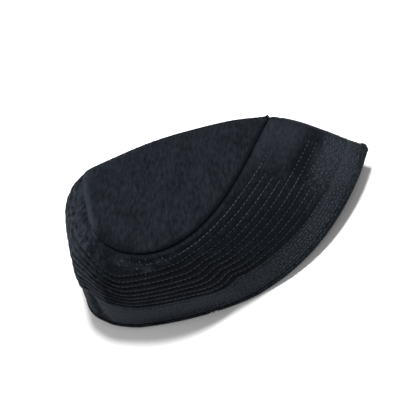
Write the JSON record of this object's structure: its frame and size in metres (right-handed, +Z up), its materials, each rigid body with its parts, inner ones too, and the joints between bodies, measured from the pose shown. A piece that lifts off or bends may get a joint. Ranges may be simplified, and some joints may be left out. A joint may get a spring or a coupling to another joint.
{
  "type": "kufi",
  "caption": "Soft black velvet kufi with a flat teardrop crown and a side band stitched in rows, pressed to a point at one end and resting on its rim.",
  "frame": {"origin": "centre of the cap's plan, on the surface that its rim rests on", "axes": "+X along the cap towards its pinched point, -Y towards the fuller side, +Z up towards the crown"},
  "size_m": [0.2418, 0.127, 0.0899],
  "materials": {
    "crown_velvet": "matte",
    "band_velvet": "matte",
    "hem_velvet": "matte"
  },
  "bodies": {
    "root": {"crown_panel": "crown_velvet", "side_band": "band_velvet", "rim_hem": "hem_velvet"}
  },
  "joints": []
}
